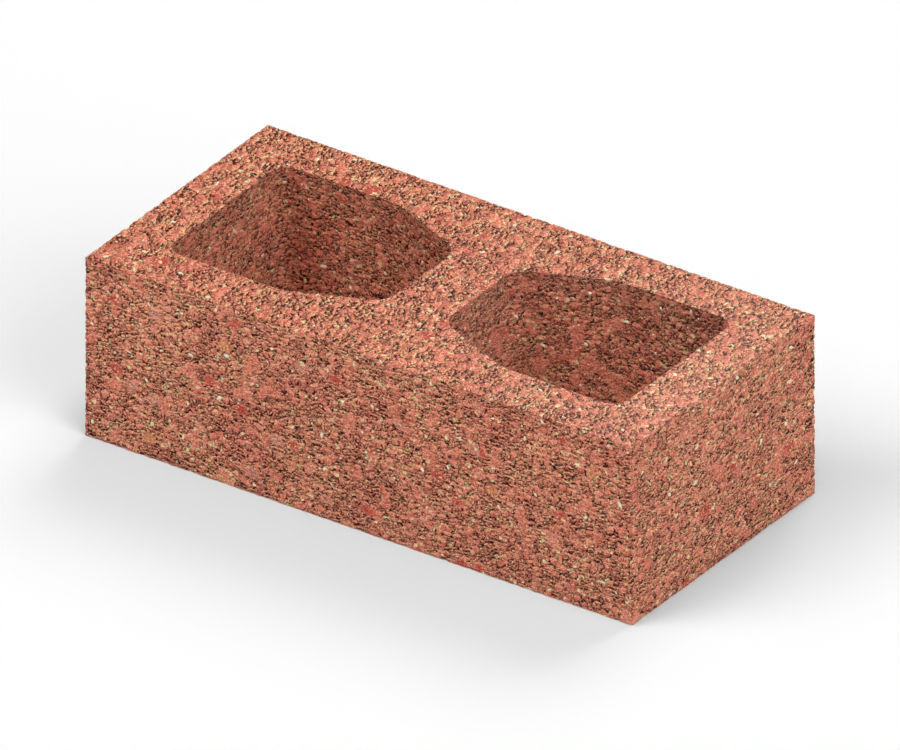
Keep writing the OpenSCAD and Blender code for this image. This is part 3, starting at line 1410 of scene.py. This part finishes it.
@dataclass(frozen=True)
class Softbox:
    """A broad lamp, far off, that lights the brick from one side.

    Attributes:
        name: The lamp's name.
        azimuth: Where it stands in degrees, from the brick's back round by its right end.
        elevation: How high it stands, in degrees.
        width: How wide it looks from the brick, in degrees.
        share: Its share of the light on the floor.
    """

    name: str
    azimuth: float
    elevation: float
    width: float
    share: float

    def light(self) -> Object:
        """Makes the lamp.

        Returns:
            The lamp, at a strength that gives its share of a white floor.
        """
        lamp = bpy.data.lights.new(self.name, "SUN")
        lamp.angle = math.radians(self.width)
        high = math.radians(self.elevation)
        round_to = math.radians(self.azimuth)
        lamp.energy = math.pi * self.share / math.sin(high)
        level = math.cos(high)
        towards = Vector((level * math.sin(round_to), level * math.cos(round_to), math.sin(high)))
        stand = in_scene(self.name, lamp)
        stand.location = towards
        stand.rotation_euler = towards.to_track_quat("Z", "Y").to_euler()
        return stand


@dataclass
class Studio:
    """The white floor, the lamps and the camera.

    Attributes:
        azimuth: Where the camera stands in degrees, from the long face round to the right end.
        elevation: How high the camera looks down from, in degrees.
        frame_width: Width of the picture at the brick.
        distance: How far off the camera stands.
        floor_size: Width of the floor.
        floor_lit: The floor's sRGB colour in the light that it throws on the brick.
        floor_seen: The floor's sRGB colour to the camera.
        flag_gap: How far the black flags stand from the brick.
        flag_colour: The flags' sRGB colour.
        sky: Strength of the even light from all round.
        sky_colour: Its sRGB colour.
        sheen_size: Width of the small lamp above the brick's right end.
        sheen_height: How far above the brick it hangs.
        sheen_power: Its power in watts.
        sheen_colour: Its sRGB colour.
        lamps: The softboxes.
    """

    azimuth: float = 34.7
    elevation: float = 30.19
    frame_width: float = 391.5
    distance: float = 2000.0
    floor_size: float = 20000.0
    floor_lit: str = "#fafafa"
    floor_seen: str = "#ffffff"
    flag_gap: float = 0.2
    flag_colour: str = "#000000"
    sky: float = 0.02
    sky_colour: str = "#ffffff"
    sheen_size: float = 120.0
    sheen_height: float = 150.0
    sheen_power: float = 1.8
    sheen_colour: str = "#fff6e0"
    lamps: tuple[Softbox, ...] = (
        Softbox("back_softbox", azimuth=-2.4, elevation=50.4, width=34.0, share=0.241),
        Softbox("right_softbox", azimuth=102.4, elevation=34.3, width=46.0, share=0.204),
        Softbox("left_softbox", azimuth=216.9, elevation=49.7, width=36.0, share=0.293),
        Softbox("overhead_softbox", azimuth=145.0, elevation=77.0, width=24.0, share=0.24),
    )

    def sheen(self, low: Vector, high: Vector) -> Object:
        """Hangs a small lamp above the brick's right end, which only shines on its top.

        Args:
            low: The brick's lowest corner, in metres.
            high: The brick's highest corner, in metres.

        Returns:
            The lamp, which lights no matt surface.
        """
        lamp = bpy.data.lights.new("sheen", "AREA")
        lamp.size = mm(self.sheen_size)
        lamp.energy = self.sheen_power
        lamp.color = linear(self.sheen_colour)[:3]
        stand = in_scene("sheen", lamp)
        stand.location = Vector((high.x, (low.y + high.y) / 2, high.z + mm(self.sheen_height)))
        stand.visible_camera = False
        stand.visible_diffuse = False
        return stand

    def seen_directly(self, tree: NodeTree) -> Source:
        """Tells what the camera sees from what only throws light.

        Args:
            tree: The tree of a material or of the world.

        Returns:
            1 for what the camera sees itself, in a mirror or through glass, and 0 otherwise.
        """
        ray = add_node(tree, "ShaderNodeLightPath")
        seen = out(ray, "Is Camera Ray")
        for kind in ("Is Glossy Ray", "Is Transmission Ray"):
            seen = add_node(tree, "ShaderNodeMath", {0: seen, 1: out(ray, kind)}, operation="MAXIMUM")
        return seen

    def floor(self) -> Object:
        """Lays the floor.

        Returns:
            The floor, white to the camera with the brick's shadow kept.
        """
        half = mm(self.floor_size) / 2
        corners = [(-half, -half, 0), (half, -half, 0), (half, half, 0), (-half, half, 0)]
        mesh = bpy.data.meshes.new("floor")
        mesh.from_pydata(corners, [], [(0, 1, 2, 3)])
        floor = in_scene("floor", mesh)
        # White studio paint: matt and even
        paint = new_material("white_floor")
        tree = paint.node_tree
        colours = {
            "Factor": self.seen_directly(tree),
            "A": linear(self.floor_lit),
            "B": linear(self.floor_seen),
        }
        seen = add_node(tree, "ShaderNodeMix", colours, data_type="RGBA")
        matt = add_node(tree, "ShaderNodeBsdfDiffuse", {"Color": seen})
        add_node(tree, "ShaderNodeOutputMaterial", {"Surface": matt})
        mesh.materials.append(paint)
        return floor

    def flags(self, low: Vector, high: Vector) -> Object:
        """Sets black flags round the brick, which only keep its red light off the floor.

        Args:
            low: The brick's lowest corner, in metres.
            high: The brick's highest corner, in metres.

        Returns:
            The flags: four walls that no camera sees and no lamp casts a shadow of.
        """
        gap = Vector((mm(self.flag_gap), mm(self.flag_gap), 0))
        near, far = low - gap, high + gap
        round_it = ((near.x, near.y), (far.x, near.y), (far.x, far.y), (near.x, far.y))
        corners = [(x, y, z) for z in (near.z, far.z) for x, y in round_it]
        walls = [(start, (start + 1) % 4, (start + 1) % 4 + 4, start + 4) for start in range(4)]
        mesh = bpy.data.meshes.new("flags")
        mesh.from_pydata(corners, [], walls)
        flags = in_scene("flags", mesh)
        # Black studio cloth: it swallows light from the brick, and light from the floor passes it
        cloth = new_material("black_flag")
        tree = cloth.node_tree
        face = add_node(tree, "ShaderNodeNewGeometry")
        black = add_node(tree, "ShaderNodeBsdfDiffuse", {"Color": linear(self.flag_colour)})
        clear = add_node(tree, "ShaderNodeBsdfTransparent")
        ways = {0: out(face, "Backfacing"), 1: black, 2: clear}
        one_way = add_node(tree, "ShaderNodeMixShader", ways)
        add_node(tree, "ShaderNodeOutputMaterial", {"Surface": one_way})
        mesh.materials.append(cloth)
        flags.visible_camera = False
        flags.visible_glossy = False
        flags.visible_transmission = False
        flags.visible_volume_scatter = False
        flags.visible_shadow = False
        return flags

    def surroundings(self) -> None:
        """Sets the even light from all round, and white where the camera sees past the floor."""
        world = bpy.data.worlds.new("studio")
        world.use_nodes = True
        tree = world.node_tree
        tree.nodes.clear()
        colour = linear(self.sky_colour)
        dim = add_node(tree, "ShaderNodeBackground", {"Color": colour, "Strength": self.sky})
        white = add_node(tree, "ShaderNodeBackground", {"Color": colour, "Strength": 1.0})
        both = add_node(tree, "ShaderNodeMixShader", {0: self.seen_directly(tree), 1: dim, 2: white})
        add_node(tree, "ShaderNodeOutputWorld", {"Surface": both})
        bpy.context.scene.world = world

    def camera(self, middle: Vector) -> Object:
        """Sets up the camera, which sees in parallel.

        Args:
            middle: The middle of the brick, in metres.

        Returns:
            The camera.
        """
        lens = bpy.data.cameras.new("camera")
        lens.type = "ORTHO"
        lens.ortho_scale = mm(self.frame_width)
        round_to = math.radians(self.azimuth)
        high = math.radians(self.elevation)
        level = math.cos(high)
        back = Vector((math.sin(round_to) * level, -math.cos(round_to) * level, math.sin(high)))
        camera = in_scene("camera", lens)
        camera.location = middle + back * mm(self.distance)
        camera.rotation_euler = back.to_track_quat("Z", "Y").to_euler()
        bpy.context.scene.camera = camera
        return camera

    def build(self, low: Vector, high: Vector) -> None:
        """Sets up the floor, the light and the camera round the brick.

        Args:
            low: The brick's lowest corner, in metres.
            high: The brick's highest corner, in metres.
        """
        self.floor()
        self.flags(low, high)
        self.surroundings()
        self.sheen(low, high)
        for lamp in self.lamps:
            lamp.light()
        self.camera((low + high) / 2)
        bpy.context.scene.view_settings.view_transform = "Standard"


def closed_solid(node: Object) -> Mesh:
    """Copies a solid's mesh and joins its loose triangles.

    Args:
        node: The solid's object.

    Returns:
        A closed mesh of its own, with no material.
    """
    joined = bmesh.new()
    joined.from_mesh(node.data)
    bmesh.ops.remove_doubles(joined, verts=joined.verts, dist=SAME_PLACE)
    mesh = bpy.data.meshes.new("solid")
    joined.to_mesh(mesh)
    joined.free()
    return mesh


def main() -> None:
    """Builds the brick and the studio in order."""
    logging.basicConfig(level=logging.INFO, format="%(message)s")
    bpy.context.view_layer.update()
    low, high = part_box(BRICK_NODE)
    solid = closed_solid(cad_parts[BRICK_NODE])

    faces = CrumbledFaces(Finish.CLAY.value).build(solid, high)
    for piece in faces:
        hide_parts(BRICK_NODE)
    sand = Grains("buff_sand", Finish.SAND, 0.65, bury=0.6, sunk=0.1, crown=0.12, gap=5.0, seed=31)
    feldspar = Grains(
        "pale_feldspar",
        Finish.FELDSPAR,
        0.95,
        lengths=(0.85, 2.2),
        bury=0.45,
        sunk=0.0,
        crown=0.1,
        gap=14.0,
        seed=33,
    )
    ironstone = Grains("ironstone_flecks", Finish.IRONSTONE, 0.8, sunk=0.1, crown=0.1, gap=30.0, seed=34)
    for piece in faces + [lot.build(solid) for lot in (sand, feldspar, ironstone)]:
        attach(piece, BODY)
        LOG.info("%s: %d faces", piece.name, len(piece.data.polygons))

    Studio().build(low, high)


if __name__ == "__main__":
    main()
